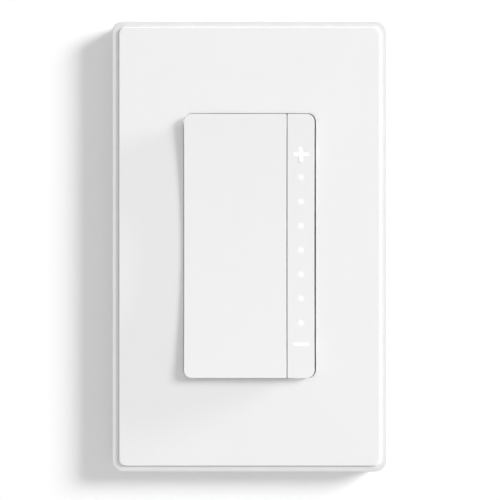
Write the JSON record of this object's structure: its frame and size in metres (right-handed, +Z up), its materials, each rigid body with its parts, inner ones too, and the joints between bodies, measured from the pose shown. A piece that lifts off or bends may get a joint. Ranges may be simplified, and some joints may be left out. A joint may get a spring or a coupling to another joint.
{
  "type": "wall dimmer switch",
  "caption": "Wall dimmer in a screwless plate: concave on/off paddle beside a narrow rocker bar with plus and minus marks and level dots; box-depth rear housing with screw terminals.",
  "frame": {"origin": "centre of the device on the wall surface", "axes": "+Z up; the front faces -Y into the room and the rear housing reaches into the wall box along +Y; +X is right as seen from the room"},
  "size_m": [0.0698, 0.0422, 0.1142],
  "materials": {
    "plate_white": "satin white moulded plastic",
    "insert_white": "satin white moulded plastic, a little smoother than the plate",
    "light_guide_milky": "milky translucent plastic, softly lit",
    "frame_white": "plain white moulded plastic",
    "housing_grey": "dark grey flame-retardant moulded plastic, fine spark texture",
    "component_black": "black moulded resin",
    "zinc_steel": "zinc-plated steel",
    "aluminium": "mill-finish aluminium sheet",
    "brass": "plain brass",
    "ground_green": "green dyed steel",
    "board_green": "green solder mask on glass epoxy",
    "fibre_red": "red vulcanised fibre",
    "pad_grey": "grey silicone pad",
    "ferrite_tape": "yellow tape over a winding, dark ferrite core",
    "enamelled_copper": "enamelled copper wire",
    "film_yellow": "yellow resin box",
    "sleeve_blue": "dark blue shrink sleeve",
    "varistor_blue": "blue dipped epoxy",
    "led_yellow": "phosphor resin"
  },
  "bodies": {
    "base": {"wall_plate_cover": "plate_white", "wall_plate_frame": "plate_white", "wall_plate_screw_top": "zinc_steel", "wall_plate_screw_bottom": "zinc_steel", "paddle_hinge_pin": "zinc_steel", "paddle_return_spring": "zinc_steel", "front_frame": "frame_white", "control_board": "board_green", "paddle_switch_body": "component_black", "plus_switch_body": "component_black", "minus_switch_body": "component_black", "controller_module": "zinc_steel", "board_link_header": "component_black", "mounting_yoke": "zinc_steel", "box_screw_top": "zinc_steel", "box_screw_bottom": "zinc_steel", "box_screw_washer_top": "fibre_red", "box_screw_washer_bottom": "fibre_red", "ground_screw": "ground_green", "rear_housing": "housing_grey", "heat_spreader": "aluminium", "triac": "component_black", "triac_insulating_pad": "pad_grey", "triac_screw": "zinc_steel", "power_board": "board_green", "supply_transformer": "ferrite_tape", "filter_choke": "enamelled_copper", "film_capacitor": "film_yellow", "electrolytic_capacitor": "sleeve_blue", "varistor": "varistor_blue", "fuse": "component_black", "level_led_1": "led_yellow", "level_led_2": "led_yellow", "level_led_3": "led_yellow", "level_led_4": "led_yellow", "level_led_5": "led_yellow", "level_led_6": "led_yellow", "level_led_7": "led_yellow", "housing_screw_1": "zinc_steel", "housing_screw_2": "zinc_steel", "housing_screw_3": "zinc_steel", "housing_screw_4": "zinc_steel", "line_terminal_plate": "brass", "line_terminal_screw": "brass", "load_terminal_plate": "brass", "load_terminal_screw": "brass", "neutral_terminal_plate": "brass", "neutral_terminal_screw": "brass", "traveller_terminal_plate": "brass", "traveller_terminal_screw": "brass"},
    "paddle": {"on_off_paddle": "insert_white"},
    "bar": {"dimmer_bar": "insert_white", "bar_light_guide": "light_guide_milky"},
    "paddle_plunger": {"paddle_switch_plunger": "frame_white"},
    "plus_plunger": {"plus_switch_plunger": "frame_white"},
    "minus_plunger": {"minus_switch_plunger": "frame_white"}
  },
  "joints": [
    {"name": "paddle_press", "type": "hinge", "parent": "base", "child": "paddle", "pos_m": [0, -0.0045, 0.0275], "axis": [1, 0, 0], "range_deg": [0, 1], "stiffness_Nm_per_rad": 1.5, "springref_deg": -2.86},
    {"name": "bar_rock", "type": "hinge", "parent": "base", "child": "bar", "pos_m": [0, -0.0045, -0.0009], "axis": [1, 0, 0], "range_deg": [-1.8, 1.8], "stiffness_Nm_per_rad": 1.5},
    {"name": "paddle_plunger_slide", "type": "slide", "parent": "base", "child": "paddle_plunger", "axis": [0, 1, 0], "range_m": [0, 0.00021]},
    {"name": "plus_plunger_slide", "type": "slide", "parent": "base", "child": "plus_plunger", "axis": [0, 1, 0], "range_m": [-0.0003, 0.0003]},
    {"name": "minus_plunger_slide", "type": "slide", "parent": "base", "child": "minus_plunger", "axis": [0, 1, 0], "range_m": [-0.0003, 0.0003]}
  ],
  "couplings": [
    {"joint": "paddle_plunger_slide", "follows": "paddle_press", "m_per_rad": 0.0115},
    {"joint": "plus_plunger_slide", "follows": "bar_rock", "m_per_rad": -0.00915},
    {"joint": "minus_plunger_slide", "follows": "bar_rock", "m_per_rad": 0.00915}
  ]
}
